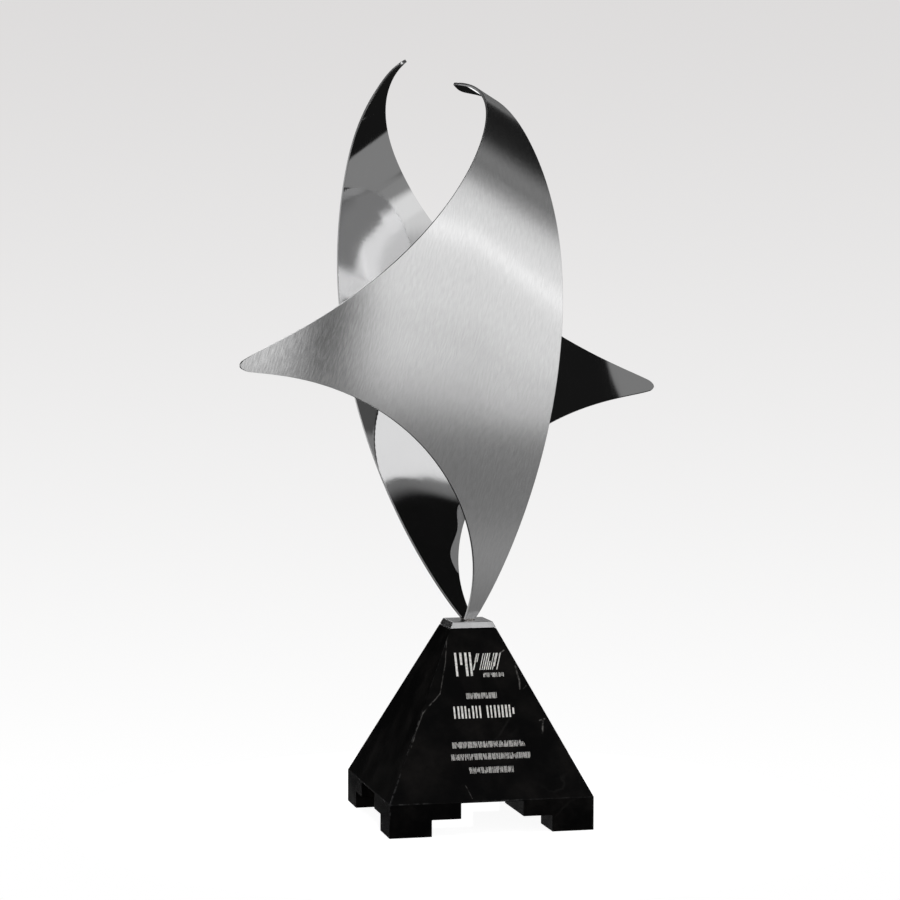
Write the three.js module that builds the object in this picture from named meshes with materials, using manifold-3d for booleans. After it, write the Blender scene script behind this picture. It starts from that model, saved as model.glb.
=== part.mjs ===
// Abstract metal sculpture on its plinth: two rolled stainless sheets stand in a V on a bevelled
// cap plate, on a black marble pyramid with stepped corner feet.
// Millimetres, +Z up. The origin is on the ground under the middle of the whole outline, which the sheets
// make wider at the back than at the front; -Y is the front.

import * as THREE from 'three';
import { mergeVertices } from 'three/addons/utils/BufferGeometryUtils.js';
import Module from 'manifold-3d';

const wasm = await Module();
wasm.setup();

const GAP = 0.3; // between pieces that touch

// Plinth
const PLINTH_WIDTH = 102;
const BAND_HEIGHT = 16.3; // upright band under the slope
const SLOPE_APEX = 119; // where the four sloping edges would meet
const PLINTH_TOP = 95.3; // the point is cut off here for the cap plate
const FOOT_WIDTH = 21; // lowest block of each corner foot
const STEP_WIDTH = 35.5; // foot and its upper step together
const STEP_HEIGHT = 8.1;
const ARCH_TOP = 15.7; // highest part of the arch under the band

// Cap plate
const CAP_BOTTOM_WIDTH = 22.3;
const CAP_TOP_WIDTH = 19.8;
const CAP_TOP = 98.6;

// Sheet blank, laid flat: x to the right, y up, from the middle of the foot
const SHEET_THICKNESS = 1.5;
const BLANK = {
  footHalfWidth: 2.9,
  tipHalfWidth: 1.2,
  finRounding: 3.5,
  tip: [38.05, 315.55],
  fin: [-132, 125.8],
  outerEdge: [[25.6, 39.5], [84, 205.4], [1.2, 236], [60.6, 317.1]], // foot to tip
  upperEdge: [[28.7, 270.4], [1, 235.6], [-39.2, 153], [-130, 141]], // tip to fin
  lowerEdge: [[-132.1, 116.9], [-36.8, 138.1], [-1.5, 62], [4.6, 29.5]], // fin to foot
};

// Roll: the blank is bent about straight lines that all run through one point beside it
const ROLL = { apex: [409.8, 53.6], even: 0.54, tight: 9.49, power: 3.53, steps: 240 };

// How the rolled sheets stand, in degrees; the lift brings the low corner of each tilted foot to the cap
const FRONT_STANCE = { turn: 12.5, tilt: 18.4, roll: 0.8, foot: [0.15, -3], lift: -0.05 };
const PAIR_LEAN = { side: -1.1, back: -5.4 };
const BACK_STANCE = { turn: -5.8, tilt: -7.6, roll: -1.6, lift: 1.15 };

const OUTLINE_MIDDLE = [-0.58, 16.43]; // middle of the outline, seen from the middle of the plinth

const COLUMNS = 60; // facets from foot to tip
const ROWS = 10; // facets across

const MARBLE = new THREE.MeshStandardMaterial({ color: 0x0d0d0e, roughness: 0.16, metalness: 0 });
const CAP_STEEL = new THREE.MeshStandardMaterial({ color: 0xb9babc, roughness: 0.34, metalness: 1 });
const BRUSHED_STEEL = new THREE.MeshStandardMaterial({ color: 0xb4b5b7, roughness: 0.3, metalness: 1 });

const rad = THREE.MathUtils.degToRad;

function solid(geometry) {
  const bare = geometry.clone();
  bare.deleteAttribute('normal');
  bare.deleteAttribute('uv');
  const merged = mergeVertices(bare, 1e-4);
  const mesh = new wasm.Mesh({
    numProp: 3,
    vertProperties: new Float32Array(merged.attributes.position.array),
    triVerts: new Uint32Array(merged.index.array),
  });
  return new wasm.Manifold(mesh);
}

function geometryOf(body) {
  const mesh = body.getMesh();
  const geometry = new THREE.BufferGeometry();
  geometry.setAttribute('position', new THREE.BufferAttribute(new Float32Array(mesh.vertProperties), 3));
  geometry.setIndex(new THREE.BufferAttribute(new Uint32Array(mesh.triVerts), 1));
  return geometry;
}

function named(name, geometry, material) {
  const mesh = new THREE.Mesh(geometry, material);
  mesh.name = name;
  return mesh;
}

// A square block whose sides slope evenly from its bottom width to its top width.
function taperedBlock(bottomWidth, topWidth, bottom, top) {
  const block = new THREE.CylinderGeometry(topWidth / Math.SQRT2, bottomWidth / Math.SQRT2, top - bottom, 4, 1);
  block.rotateY(Math.PI / 4);
  block.rotateX(Math.PI / 2);
  block.translate(0, 0, (bottom + top) / 2);
  return block;
}

// The two-step arch, as a bar that runs along Y right through the plinth.
function archBar() {
  const half = PLINTH_WIDTH / 2;
  const wide = half - FOOT_WIDTH;
  const narrow = half - STEP_WIDTH;
  const outline = new THREE.Shape();
  outline.moveTo(-wide, -1);
  outline.lineTo(wide, -1);
  outline.lineTo(wide, STEP_HEIGHT);
  outline.lineTo(narrow, STEP_HEIGHT);
  outline.lineTo(narrow, ARCH_TOP);
  outline.lineTo(-narrow, ARCH_TOP);
  outline.lineTo(-narrow, STEP_HEIGHT);
  outline.lineTo(-wide, STEP_HEIGHT);
  outline.closePath();
  const bar = new THREE.ExtrudeGeometry(outline, { depth: PLINTH_WIDTH + 4, bevelEnabled: false });
  bar.translate(0, 0, -PLINTH_WIDTH / 2 - 2);
  bar.rotateX(Math.PI / 2);
  return bar;
}

function plinth() {
  const topWidth = PLINTH_WIDTH * (SLOPE_APEX - PLINTH_TOP) / (SLOPE_APEX - BAND_HEIGHT);
  const band = solid(taperedBlock(PLINTH_WIDTH, PLINTH_WIDTH, 0, BAND_HEIGHT));
  const slope = solid(taperedBlock(PLINTH_WIDTH, topWidth, BAND_HEIGHT, PLINTH_TOP));
  const along = archBar();
  const across = archBar().rotateZ(Math.PI / 2);
  const body = band.add(slope).subtract(solid(along)).subtract(solid(across));
  return named('plinth', geometryOf(body), MARBLE);
}

function capPlate() {
  const block = taperedBlock(CAP_BOTTOM_WIDTH, CAP_TOP_WIDTH, PLINTH_TOP + GAP, CAP_TOP);
  return named('cap_plate', geometryOf(solid(block)), CAP_STEEL);
}

// A point of the curve that its handles pull between its two ends.
function curvePoint(points, t) {
  let row = points.map(([x, y]) => new THREE.Vector2(x, y));
  while (row.length > 1) row = row.slice(1).map((p, i) => row[i].clone().lerp(p, t));
  return row[0];
}

// Outer edge of the blank, foot to tip.
function outerEdge(s) {
  const { footHalfWidth, tipHalfWidth, tip, outerEdge: handles } = BLANK;
  return curvePoint([[footHalfWidth, 0], ...handles, [tip[0] + tipHalfWidth, tip[1]]], s);
}

// Inner edge of the blank, foot to fin to tip; the fin's corner is rounded.
function innerEdge(s) {
  const { footHalfWidth, tipHalfWidth, tip, fin, upperEdge, lowerEdge, finRounding } = BLANK;
  const lower = [fin, ...lowerEdge, [-footHalfWidth, 0]];
  const upper = [[tip[0] - tipHalfWidth, tip[1]], ...upperEdge, fin];
  const cutLower = finRounding / (5 * Math.hypot(fin[0] - lowerEdge[0][0], fin[1] - lowerEdge[0][1]));
  const cutUpper = finRounding / (5 * Math.hypot(fin[0] - upperEdge[3][0], fin[1] - upperEdge[3][1]));
  const round = 0.04;
  const half = 0.5;
  if (s < half - round) return curvePoint(lower, 1 - s / (half - round) * (1 - cutLower));
  if (s > half + round) return curvePoint(upper, 1 - cutUpper - (s - half - round) / (half - round) * (1 - cutUpper));
  const a = curvePoint(lower, cutLower);
  const b = curvePoint(upper, 1 - cutUpper);
  return curvePoint([[a.x, a.y], fin, [b.x, b.y]], (s - half + round) / (2 * round));
}

function rollAngle(point) {
  return Math.atan2(point.y - ROLL.apex[1], ROLL.apex[0] - point.x);
}

// The frames of the roll: for each bend line, its direction, the way up the sheet and the inner normal.
function rollFrames() {
  const start = rollAngle(new THREE.Vector2(0, 0)) - 0.002;
  const end = rollAngle(new THREE.Vector2(...BLANK.tip)) + 0.01;
  const step = (end - start) / ROLL.steps;
  const frames = [];
  const line = new THREE.Vector3(-Math.cos(start), 0, Math.sin(start));
  const up = new THREE.Vector3(Math.sin(start), 0, Math.cos(start));
  const inner = new THREE.Vector3(0, 1, 0);
  for (let i = 0; i <= ROLL.steps; i += 1) {
    frames.push({ line: line.clone(), inner: inner.clone() });
    const bend = ROLL.even + ROLL.tight * ((i + 0.5) / ROLL.steps) ** ROLL.power;
    const axis = line.clone().multiplyScalar(bend).add(inner);
    const angle = axis.length() * step;
    axis.normalize();
    for (const vector of [line, up, inner]) vector.applyAxisAngle(axis, angle);
  }
  return { start, step, frames };
}

const FRAMES = rollFrames();

// Where a point of the flat blank goes when the sheet is rolled, off its middle by a distance.
function rolled(point, off) {
  const { start, step, frames } = FRAMES;
  const place = THREE.MathUtils.clamp((rollAngle(point) - start) / step, 0, ROLL.steps - 1e-6);
  const i = Math.floor(place);
  const part = place - i;
  const line = frames[i].line.clone().lerp(frames[i + 1].line, part).normalize();
  const inner = frames[i].inner.clone().lerp(frames[i + 1].inner, part).normalize();
  const reach = Math.hypot(point.x - ROLL.apex[0], point.y - ROLL.apex[1]);
  return line.multiplyScalar(reach).addScaledVector(inner, off);
}

// The sheet as a closed shell: inner and outer faces on one grid, joined round the rim.
function sheetGeometry() {
  const origin = rolled(new THREE.Vector2(0, 0), 0);
  const side = (COLUMNS + 1) * (ROWS + 1);
  const positions = [];
  for (const off of [-SHEET_THICKNESS / 2, SHEET_THICKNESS / 2]) {
    for (let i = 0; i <= COLUMNS; i += 1) {
      const a = outerEdge(i / COLUMNS);
      const b = innerEdge(i / COLUMNS);
      for (let j = 0; j <= ROWS; j += 1) {
        const p = rolled(a.clone().lerp(b, j / ROWS), off).sub(origin);
        positions.push(p.x, p.y, p.z);
      }
    }
  }
  const at = (i, j, k) => k * side + i * (ROWS + 1) + j;
  const index = [];
  const quad = (a, b, c, d) => index.push(a, b, c, a, c, d);
  for (let i = 0; i < COLUMNS; i += 1) {
    for (let j = 0; j < ROWS; j += 1) {
      quad(at(i, j, 0), at(i + 1, j, 0), at(i + 1, j + 1, 0), at(i, j + 1, 0));
      quad(at(i, j, 1), at(i, j + 1, 1), at(i + 1, j + 1, 1), at(i + 1, j, 1));
    }
    quad(at(i, 0, 0), at(i, 0, 1), at(i + 1, 0, 1), at(i + 1, 0, 0));
    quad(at(i, ROWS, 0), at(i + 1, ROWS, 0), at(i + 1, ROWS, 1), at(i, ROWS, 1));
  }
  for (let j = 0; j < ROWS; j += 1) {
    quad(at(0, j, 0), at(0, j + 1, 0), at(0, j + 1, 1), at(0, j, 1));
    quad(at(COLUMNS, j, 0), at(COLUMNS, j, 1), at(COLUMNS, j + 1, 1), at(COLUMNS, j + 1, 0));
  }
  const geometry = new THREE.BufferGeometry();
  geometry.setAttribute('position', new THREE.Float32BufferAttribute(positions, 3));
  geometry.setIndex(index);
  return geometry;
}

// A group that turns what it holds: tilt and roll first, then the turn about the vertical.
function turned(child, turn, tilt, roll) {
  const group = new THREE.Group();
  group.rotation.set(rad(tilt), rad(roll), rad(turn), 'ZXY');
  group.add(child);
  return group;
}

function frontSheet() {
  const { turn, tilt, roll, foot, lift } = FRONT_STANCE;
  const stance = turned(named('front_sheet', sheetGeometry(), BRUSHED_STEEL), turn, tilt, roll);
  stance.position.set(foot[0], foot[1], lift);
  return stance;
}

function backSheet() {
  const { turn, tilt, roll, lift } = BACK_STANCE;
  const stance = frontSheet();
  stance.position.z = lift;
  stance.children[0].name = 'back_sheet';
  const half = new THREE.Group();
  half.rotation.z = Math.PI;
  half.add(stance);
  return turned(half, turn, tilt, roll);
}

const pair = new THREE.Group();
pair.add(frontSheet(), backSheet());
pair.rotation.set(rad(PAIR_LEAN.back), rad(PAIR_LEAN.side), 0, 'YXZ');
pair.position.z = CAP_TOP + GAP;

const sculpture = new THREE.Group();
sculpture.add(plinth(), capPlate(), pair);
sculpture.position.set(-OUTLINE_MIDDLE[0], -OUTLINE_MIDDLE[1], 0);

export default sculpture;
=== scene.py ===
"""Two rolled steel sheets on a black marble pyramid, drawn in the frame of the CAD parts."""

import logging
import math
from abc import ABC, abstractmethod
from dataclasses import dataclass
from enum import Enum, IntEnum
from typing import Any, ClassVar

import bpy
import numpy as np
from mathutils import Matrix, Vector


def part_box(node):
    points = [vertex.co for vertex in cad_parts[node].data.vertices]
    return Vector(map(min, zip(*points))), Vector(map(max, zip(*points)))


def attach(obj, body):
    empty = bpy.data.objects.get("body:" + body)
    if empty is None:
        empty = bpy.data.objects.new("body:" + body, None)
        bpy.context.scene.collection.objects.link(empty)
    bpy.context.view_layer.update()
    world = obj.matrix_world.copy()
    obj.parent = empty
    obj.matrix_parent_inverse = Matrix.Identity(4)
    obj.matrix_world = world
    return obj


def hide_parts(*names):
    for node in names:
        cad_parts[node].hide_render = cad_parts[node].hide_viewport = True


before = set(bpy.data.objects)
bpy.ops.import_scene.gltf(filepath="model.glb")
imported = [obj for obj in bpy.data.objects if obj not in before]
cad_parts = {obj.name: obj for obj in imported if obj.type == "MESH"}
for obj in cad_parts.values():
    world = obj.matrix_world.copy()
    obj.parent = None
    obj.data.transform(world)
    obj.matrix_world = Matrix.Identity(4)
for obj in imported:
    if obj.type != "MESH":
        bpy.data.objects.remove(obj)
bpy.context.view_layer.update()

LOG = logging.getLogger("sculpture")
BODY = "root"
MM = 0.001
BLANK_MAP = "blank"
BLANK_MAP_UNIT = 100.0  # millimetres of flat sheet to one unit of the map
MEAN = 0.5  # the middle of a noise
WELD_GAP = 0.3  # millimetres between a sheet's foot and the cap
EASED_ANGLE = 15.0  # degrees between two faces from which their edge is eased
EASED_STEPS = 3
DEGREES = 180.0 / math.pi
FULL_TURN = 360.0

Array = np.ndarray
Pair = tuple[float, float]
Triple = tuple[float, float, float]
Colour = Triple
Handles = tuple[Pair, ...]
WHITE: Colour = (1.0, 1.0, 1.0)
UNSCALED: Triple = (1.0, 1.0, 1.0)
UNMOVED: Triple = (0.0, 0.0, 0.0)


class Slot(Enum):
    """The record's material slots."""

    MARBLE = "marble"
    CAP = "cap_steel"
    SHEET = "sheet_steel"


class SheetFace(IntEnum):
    """The finishes of a sheet, in the order of its material slots."""

    OUTER = 0
    INNER = 1
    RIM = 2


class Shade:
    """A shader socket that takes part in Python expressions."""

    def __init__(self, graph: "Graph", socket: bpy.types.NodeSocket) -> None:
        """Keeps the socket and the graph that it belongs to."""
        self.graph = graph
        self.socket = socket

    def maths(self, operation: str, *others: "Shade | float") -> "Shade":
        """The value of a Math node with this socket first."""
        return self.graph.maths(operation, self, *others)

    def __add__(self, other: "Shade | float") -> "Shade":
        """The sum."""
        return self.maths("ADD", other)

    __radd__ = __add__

    def __sub__(self, other: "Shade | float") -> "Shade":
        """The difference."""
        return self.maths("SUBTRACT", other)

    def __rsub__(self, other: float) -> "Shade":
        """A number less this value."""
        return self.graph.maths("SUBTRACT", other, self)

    def __mul__(self, other: "Shade | float") -> "Shade":
        """The product."""
        return self.maths("MULTIPLY", other)

    __rmul__ = __mul__

    def __truediv__(self, other: "Shade | float") -> "Shade":
        """The quotient."""
        return self.maths("DIVIDE", other)

    def __pow__(self, power: "Shade | float") -> "Shade":
        """This value raised to a power."""
        return self.maths("POWER", power)

    def size(self) -> "Shade":
        """The value without its sign."""
        return self.maths("ABSOLUTE")

    def least(self, other: "Shade | float") -> "Shade":
        """The smaller of two values."""
        return self.maths("MINIMUM", other)

    def most(self, other: "Shade | float") -> "Shade":
        """The larger of two values."""
        return self.maths("MAXIMUM", other)

    def rise(self, low: float, high: float) -> "Shade":
        """A smooth step from 0 at low to 1 at high, or down where low is the larger.

        Args:
            low: the value that gives 0.
            high: the value that gives 1.

        Returns:
            The step.
        """
        if low > high:
            return 1.0 - self.rise(high, low)
        node = self.graph.add(
            "ShaderNodeMapRange",
            {"interpolation_type": "SMOOTHSTEP"},
            {"Value": self, "From Min": low, "From Max": high},
        )
        return Shade(self.graph, node.outputs["Result"])

    def between(self, low: float, high: float, soft: float) -> "Shade":
        """A window that is 1 between two values and falls to 0 over a soft edge on either side."""
        return self.rise(low - soft, low + soft) * self.rise(high + soft, high - soft)


class Graph:
    """A node tree with one method that makes any node."""

    def __init__(self, tree: bpy.types.NodeTree) -> None:
        """Takes an empty or default tree."""
        self.tree = tree

    def add(self, kind: str, settings: dict[str, Any], inputs: dict[str | int, Any]) -> bpy.types.Node:
        """Makes a node, sets its properties and then fills or links its sockets.

        Args:
            kind: the node's type.
            settings: its properties.
            inputs: a value, socket or Shade for each socket name or number.

        Returns:
            The node.
        """
        node = self.tree.nodes.new(kind)
        for name, value in settings.items():
            setattr(node, name, value)
        for key, value in inputs.items():
            value = value.socket if isinstance(value, Shade) else value
            if isinstance(value, bpy.types.NodeSocket):
                self.tree.links.new(value, node.inputs[key])
            else:
                node.inputs[key].default_value = value
        return node

    def maths(self, operation: str, *values: Shade | float) -> Shade:
        """The value of a Math node."""
        node = self.add("ShaderNodeMath", {"operation": operation}, dict(enumerate(values)))
        return Shade(self, node.outputs[0])

    def place(self) -> bpy.types.NodeSocket:
        """The Object coordinate, in metres of the row frame."""
        return self.add("ShaderNodeTexCoord", {}, {}).outputs["Object"]

    def blank_place(self) -> bpy.types.NodeSocket:
        """The place on the flat sheet, from the sheet's own map."""
        return self.add("ShaderNodeUVMap", {"uv_map": BLANK_MAP}, {}).outputs["UV"]

    def mapped(self, vector: Any, scale: Triple = UNSCALED, shift: Triple = UNMOVED) -> bpy.types.NodeSocket:
        """A vector that is scaled and then shifted along the axes."""
        node = self.add("ShaderNodeMapping", {}, {"Vector": vector, "Scale": scale, "Location": shift})
        return node.outputs["Vector"]

    def parts(self, vector: Any) -> tuple[Shade, Shade, Shade]:
        """The three parts of a vector."""
        node = self.add("ShaderNodeSeparateXYZ", {}, {"Vector": vector})
        return tuple(Shade(self, output) for output in node.outputs)

    def joined(self, x: Shade | float, y: Shade | float, z: Shade | float) -> bpy.types.NodeSocket:
        """A vector from its three parts."""
        return self.add("ShaderNodeCombineXYZ", {}, {0: x, 1: y, 2: z}).outputs["Vector"]

    def noise(self, vector: Any, scale: float, detail: float = 2.0, rough: float = 0.5) -> Shade:
        """Cloudy noise from 0 to 1, by its waves to a unit, its finer layers and how strong those are."""
        inputs = {"Vector": vector, "Scale": scale, "Detail": detail, "Roughness": rough}
        return Shade(self, self.add("ShaderNodeTexNoise", {"noise_dimensions": "3D"}, inputs).outputs[0])

    def mix(self, part: Shade | float, first: Any, second: Any) -> bpy.types.NodeSocket:
        """A colour between two colours.

        Args:
            part: 0 for the first colour, 1 for the second.
            first: a colour or a colour socket.
            second: a colour or a colour socket.

        Returns:
            The mixed colour.
        """
        full = [(*c, 1.0) if isinstance(c, tuple) else c for c in (first, second)]
        node = self.add("ShaderNodeMix", {"data_type": "RGBA"}, {0: part, 6: full[0], 7: full[1]})
        return node.outputs[2]

    def bump(self, height: Shade, distance: float, strength: float) -> bpy.types.NodeSocket:
        """A normal that follows a height, whose 1 stands for a distance in metres."""
        node = self.add("ShaderNodeBump", {}, {"Height": height, "Distance": distance, "Strength": strength})
        return node.outputs["Normal"]


class Finish(ABC):
    """A finish: a material whose nodes end in one Principled shader."""

    name: ClassVar[str]

    @abstractmethod
    def inputs(self, graph: Graph) -> dict[str, Any]:
        """The shader's values and links, whose nodes go into the material's graph."""

    def make(self) -> bpy.types.Material:
        """Makes the material from its kind's inputs.

        Returns:
            The material.
        """
        material = bpy.data.materials.new(self.name)
        material.use_nodes = True
        material.node_tree.nodes.clear()
        graph = Graph(material.node_tree)
        shader = graph.add("ShaderNodeBsdfPrincipled", {}, self.inputs(graph))
        graph.add("ShaderNodeOutputMaterial", {}, {"Surface": shader.outputs[0]})
        return material


@dataclass(frozen=True)
class BrushedSteel(Finish):
    """Stainless sheet brushed from foot to tip; fine grain lines lean across the blank as they rise."""

    name: ClassVar[str] = "brushed_steel"
    dark: Colour = (0.53, 0.53, 0.532)
    light: Colour = (0.745, 0.745, 0.747)
    roughness: float = 0.19
    swing: float = 0.06  # how far the grain sways the roughness
    anisotropy: float = 0.6
    calm: float = 0.29  # how much of the grain shows away from the fin
    fin: Pair = (-0.55, -1.0)  # where across the map the grain starts to grow and is full
    lean: float = 16.0  # degrees
    hair: Triple = (130.0, 19.0, 1.0)  # waves across and along one map unit
    hair_layers: Pair = (3.0, 0.6)  # finer layers and their strength
    streak: Triple = (42.0, 4.0, 1.0)
    streak_layers: Pair = (3.0, 0.55)
    cloud: float = 3.0
    weights: Triple = (0.84, 0.1, 0.06)  # of hair lines, streaks and clouds in the colour
    contrast: Pair = (0.32, 0.68)
    dull: Pair = (0.6, 0.4)  # weights of hair lines and streaks in the roughness
    relief: Pair = (0.7, 0.3)  # and in the height
    bump: Pair = (0.00003, 0.5)  # depth in metres and strength

    def inputs(self, graph: Graph) -> dict[str, Any]:
        """Hair lines and broader streaks sway the colour, the roughness and the normal.

        Args:
            graph: the material's graph.

        Returns:
            The shader's values and links.
        """
        place = graph.blank_place()
        x, y, _ = graph.parts(place)
        aside, up = math.sin(math.radians(self.lean)), math.cos(math.radians(self.lean))
        brushed = graph.joined(x * up - y * aside, x * aside + y * up, 0.0)
        hair = graph.noise(graph.mapped(brushed, self.hair), 1.0, *self.hair_layers)
        streak = graph.noise(graph.mapped(brushed, self.streak), 1.0, *self.streak_layers)
        cloud = graph.noise(place, self.cloud)
        tone = hair * self.weights[0] + streak * self.weights[1] + cloud * self.weights[2]
        tone = tone.rise(*self.contrast)
        grain = (tone - MEAN) * (self.calm + (1.0 - self.calm) * x.rise(*self.fin)) + MEAN
        dull = hair * self.dull[0] + streak * self.dull[1] - MEAN
        return {
            "Base Color": graph.mix(grain, self.dark, self.light),
            "Metallic": 1.0,
            "Roughness": self.roughness + self.swing * dull,
            "Anisotropic": self.anisotropy,
            "Normal": graph.bump(hair * self.relief[0] + streak * self.relief[1], *self.bump),
        }


@dataclass(frozen=True)
class MirrorSteel(Finish):
    """The polished inner side: near-mirror with faint grain and the waves of hand rolling."""

    name: ClassVar[str] = "mirror_steel"
    dark: Colour = (0.555, 0.555, 0.557)
    light: Colour = (0.6, 0.6, 0.602)
    roughness: float = 0.045
    swing: float = 0.03
    lines: Triple = (90.0, 2.0, 1.0)  # waves across and along one map unit
    line_layers: Pair = (3.0, 0.6)  # finer layers and their strength
    cloud: Pair = (4.0, 3.0)  # waves to a map unit and their finer layers
    weights: Pair = (0.5, 0.5)  # of lines and clouds in the colour
    smears: Pair = (0.15, 0.5)  # products of line and cloud where the polish starts to dull and is dullest
    wave_squash: Triple = (1.0, 0.6, 1.0)
    wave: Pair = (2.6, 0.5)
    bump: Pair = (0.0012, 0.25)

    def inputs(self, graph: Graph) -> dict[str, Any]:
        """Faint lines sway the roughness, and slow waves bend the reflections.

        Args:
            graph: the material's graph.

        Returns:
            The shader's values and links.
        """
        place = graph.blank_place()
        line = graph.noise(graph.mapped(place, self.lines), 1.0, *self.line_layers)
        cloud = graph.noise(place, *self.cloud)
        wave = graph.noise(graph.mapped(place, self.wave_squash), *self.wave)
        return {
            "Base Color": graph.mix(line * self.weights[0] + cloud * self.weights[1], self.dark, self.light),
            "Metallic": 1.0,
            "Roughness": self.roughness + self.swing * (line * cloud).rise(*self.smears),
            "Normal": graph.bump(wave, *self.bump),
        }


@dataclass(frozen=True)
class MottledFinish(Finish):
    """A finish whose colour, roughness and normal all follow one noise."""

    dark: Colour
    light: Colour
    roughness: float
    swing: float
    mottle: Triple  # waves to a metre, finer layers and their strength
    bump: Pair  # depth in metres and strength
    contrast: Pair | None = None
    metallic: float = 1.0

    def inputs(self, graph: Graph) -> dict[str, Any]:
        """The noise mixes the two colours, sways the roughness about its middle and raises the surface.

        Args:
            graph: the material's graph.

        Returns:
            The shader's values and links.
        """
        mottle = graph.noise(graph.place(), *self.mottle)
        tone = mottle.rise(*self.contrast) if self.contrast else mottle
        return {
            "Base Color": graph.mix(tone, self.dark, self.light),
            "Metallic": self.metallic,
            "Roughness": self.roughness + self.swing * (mottle - MEAN),
            "Normal": graph.bump(mottle, *self.bump),
        }


@dataclass(frozen=True)
class CutSteel(MottledFinish):
    """The sheets' cut rims, with file marks."""

    name: ClassVar[str] = "cut_steel"
    dark: Colour = (0.4, 0.4, 0.403)
    light: Colour = (0.5, 0.5, 0.503)
    roughness: float = 0.3
    swing: float = 0.2
    mottle: Triple = (2500.0, 2.0, 0.5)
    bump: Pair = (0.00001, 0.2)


@dataclass(frozen=True)
class WeldSteel(MottledFinish):
    """Weld beads: rippled and tinted dark by the heat."""

    name: ClassVar[str] = "weld_steel"
    dark: Colour = (0.05, 0.045, 0.042)
    light: Colour = (0.34, 0.32, 0.30)
    roughness: float = 0.4
    swing: float = 0.3
    mottle: Triple = (420.0, 3.0, 0.65)
    bump: Pair = (0.0002, 0.5)
    contrast: Pair | None = (0.3, 0.7)


@dataclass(frozen=True)
class StrokeFill(MottledFinish):
    """The pale fill of the strokes on the plinth's front, in blotches where it has worn thin."""

    name: ClassVar[str] = "stroke_fill"
    dark: Colour = (0.5, 0.49, 0.47)
    light: Colour = (0.92, 0.91, 0.88)
    roughness: float = 0.6
    swing: float = 0.2
    mottle: Triple = (900.0, 3.0, 0.6)
    bump: Pair = (0.00005, 0.4)
    contrast: Pair | None = (0.3, 0.6)
    metallic: float = 0.0


@dataclass(frozen=True)
class CapSteel(Finish):
    """The cap plate's satin finish, linished along X, with faint finger smudges."""

    name: ClassVar[str] = "cap_steel"
    dark: Colour = (0.42, 0.42, 0.425)
    light: Colour = (0.64, 0.64, 0.645)
    roughness: float = 0.24
    swing: Pair = (0.2, 0.1)  # by smudges and by lines
    lines: Triple = (60.0, 2200.0, 2200.0)  # waves to a metre along each axis
    smudge: Triple = (160.0, 3.0, 0.6)  # waves to a metre, finer layers and their strength
    weights: Pair = (0.6, 0.4)  # of lines and smudges in the colour
    bump: Pair = (0.00002, 0.3)

    def inputs(self, graph: Graph) -> dict[str, Any]:
        """Linish lines and smudges sway the colour and the roughness.

        Args:
            graph: the material's graph.

        Returns:
            The shader's values and links.
        """
        place = graph.place()
        line = graph.noise(graph.mapped(place, self.lines), 1.0)
        smudge = graph.noise(place, *self.smudge)
        return {
            "Base Color": graph.mix(line * self.weights[0] + smudge * self.weights[1], self.dark, self.light),
            "Metallic": 1.0,
            "Roughness": self.roughness + self.swing[0] * (smudge - MEAN) + self.swing[1] * (line - MEAN),
            "Normal": graph.bump(line, *self.bump),
        }


@dataclass(frozen=True)
class Mark:
    """A pale straight mark in the stone's front slope, from one place to another.

    Places are millimetres to the right of the middle and up the slope from the band.
    """

    start: Pair
    end: Pair
    width: float = 0.5
    strength: float = 0.6

    def shade(self, across: Shade, along: Shade) -> Shade:
        """How strongly the mark shows: it fades with the distance from the line between its ends.

        Args:
            across: millimetres to the right of the middle.
            along: millimetres up the slope.

        Returns:
            The mark's strength.
        """
        run = (self.end[0] - self.start[0], self.end[1] - self.start[1])
        square = run[0] ** 2 + run[1] ** 2
        right, up = across - self.start[0], along - self.start[1]
        share = (right * (run[0] / square) + up * (run[1] / square)).most(0.0).least(1.0)
        gap = ((right - share * run[0]) ** 2.0 + (up - share * run[1]) ** 2.0) ** 0.5
        return gap.rise(self.width, 0.0) * self.strength


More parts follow.
